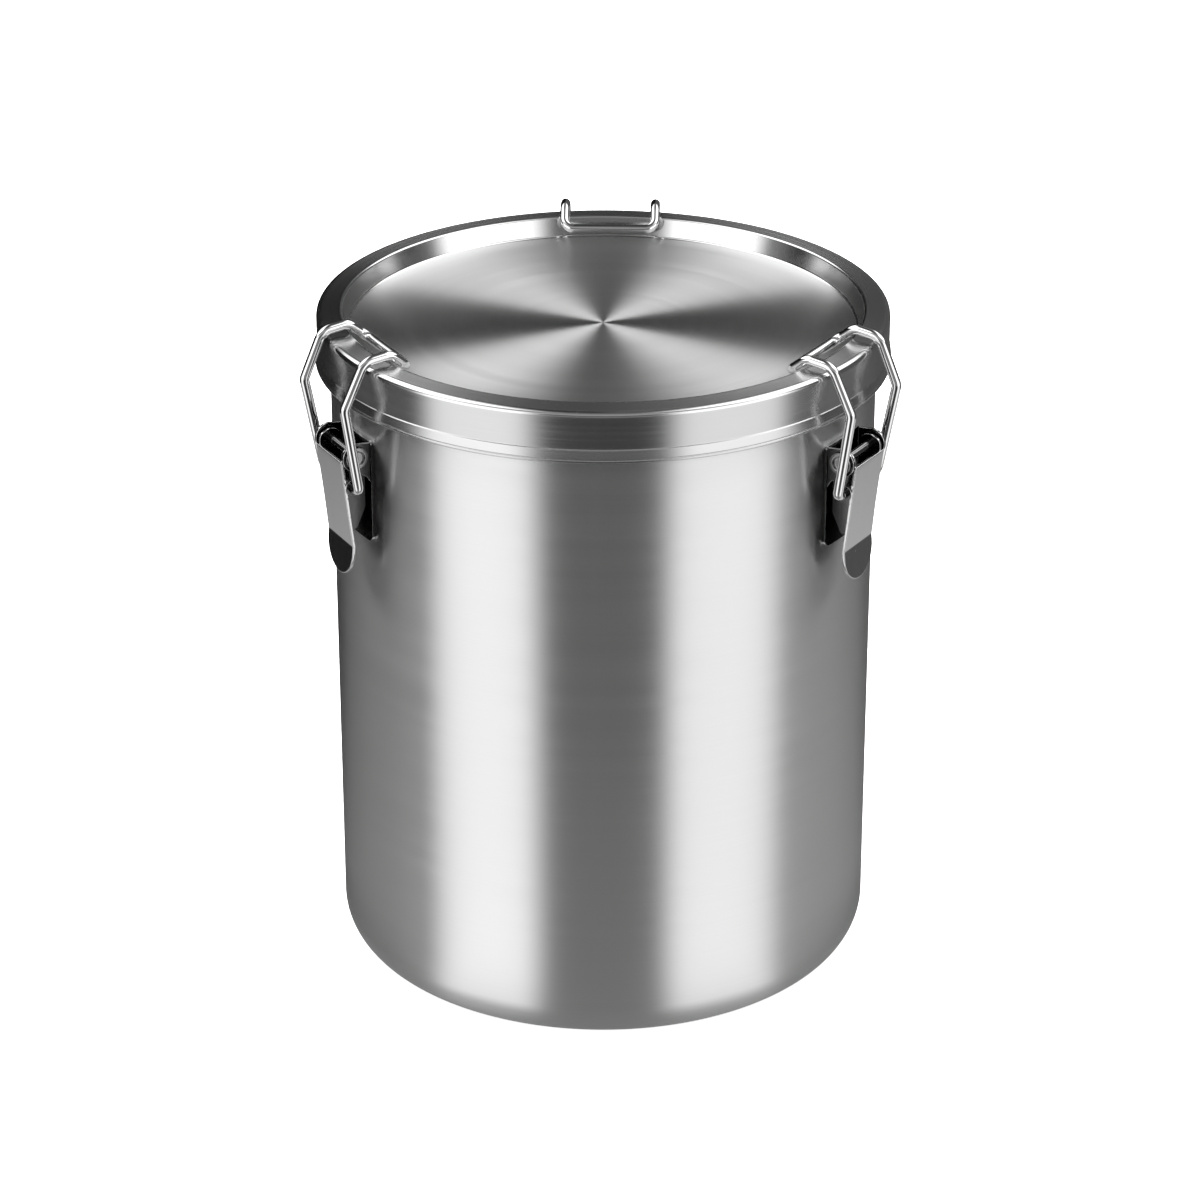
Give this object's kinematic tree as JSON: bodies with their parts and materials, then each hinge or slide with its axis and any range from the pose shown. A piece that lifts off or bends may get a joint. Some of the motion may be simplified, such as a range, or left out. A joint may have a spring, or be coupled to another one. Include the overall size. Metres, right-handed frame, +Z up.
{
  "type": "milk can",
  "caption": "Straight-sided stainless-steel milk can with a sunken lid, a sealing ring under it, and over-centre wire latches that pull the lid down.",
  "frame": {"origin": "centre of the can's flat bottom, on the can's axis", "axes": "+Z up along the can's axis, +Y towards the latch at the back; the other latches are at the front left and the front right"},
  "size_m": [0.172, 0.1756, 0.2071],
  "materials": {
    "can_steel": "satin, fine brushing round the can",
    "lid_steel": "circular brushing on the sunken disc, bright polished ring and skirt",
    "gasket_silicone": "matt translucent silicone",
    "latch_steel": "smooth stamped sheet, barrel polished",
    "wire_steel": "mirror-polished stainless wire"
  },
  "bodies": {
    "can": {"can_body": "can_steel", "rear_bracket": "latch_steel", "rear_pivot_pin": "wire_steel", "left_bracket": "latch_steel", "left_pivot_pin": "wire_steel", "right_bracket": "latch_steel", "right_pivot_pin": "wire_steel"},
    "lid": {"lid": "lid_steel", "lid_gasket": "gasket_silicone"},
    "rear_lever": {"rear_lever": "latch_steel"},
    "rear_bail": {"rear_bail": "wire_steel"},
    "left_lever": {"left_lever": "latch_steel"},
    "left_bail": {"left_bail": "wire_steel"},
    "right_lever": {"right_lever": "latch_steel"},
    "right_bail": {"right_bail": "wire_steel"}
  },
  "joints": [
    {"name": "lid_lift", "type": "slide", "parent": "can", "child": "lid", "axis": [0, 0, 1], "range_m": [0, 0.15]},
    {"name": "rear_lever_swing", "type": "hinge", "parent": "can", "child": "rear_lever", "pos_m": [0, 0.0848, 0.1746], "axis": [1, 0, 0], "range_deg": [0, 100]},
    {"name": "rear_bail_swing", "type": "hinge", "parent": "rear_lever", "child": "rear_bail", "pos_m": [0, 0.0853, 0.1648], "axis": [1, 0, 0], "range_deg": [-73.5, 0]},
    {"name": "left_lever_swing", "type": "hinge", "parent": "can", "child": "left_lever", "pos_m": [-0.07344, -0.0424, 0.1746], "axis": [-0.5, 0.866, 0], "range_deg": [0, 100]},
    {"name": "left_bail_swing", "type": "hinge", "parent": "left_lever", "child": "left_bail", "pos_m": [-0.07387, -0.04265, 0.1648], "axis": [-0.5, 0.866, 0], "range_deg": [-73.5, 0]},
    {"name": "right_lever_swing", "type": "hinge", "parent": "can", "child": "right_lever", "pos_m": [0.07344, -0.0424, 0.1746], "axis": [-0.5, -0.866, 0], "range_deg": [0, 100]},
    {"name": "right_bail_swing", "type": "hinge", "parent": "right_lever", "child": "right_bail", "pos_m": [0.07387, -0.04265, 0.1648], "axis": [-0.5, -0.866, 0], "range_deg": [-73.5, 0]}
  ],
  "couplings": [
    {"joint": "rear_bail_swing", "follows": "rear_lever_swing", "ratio": -0.735},
    {"joint": "left_bail_swing", "follows": "left_lever_swing", "ratio": -0.735},
    {"joint": "right_bail_swing", "follows": "right_lever_swing", "ratio": -0.735}
  ]
}
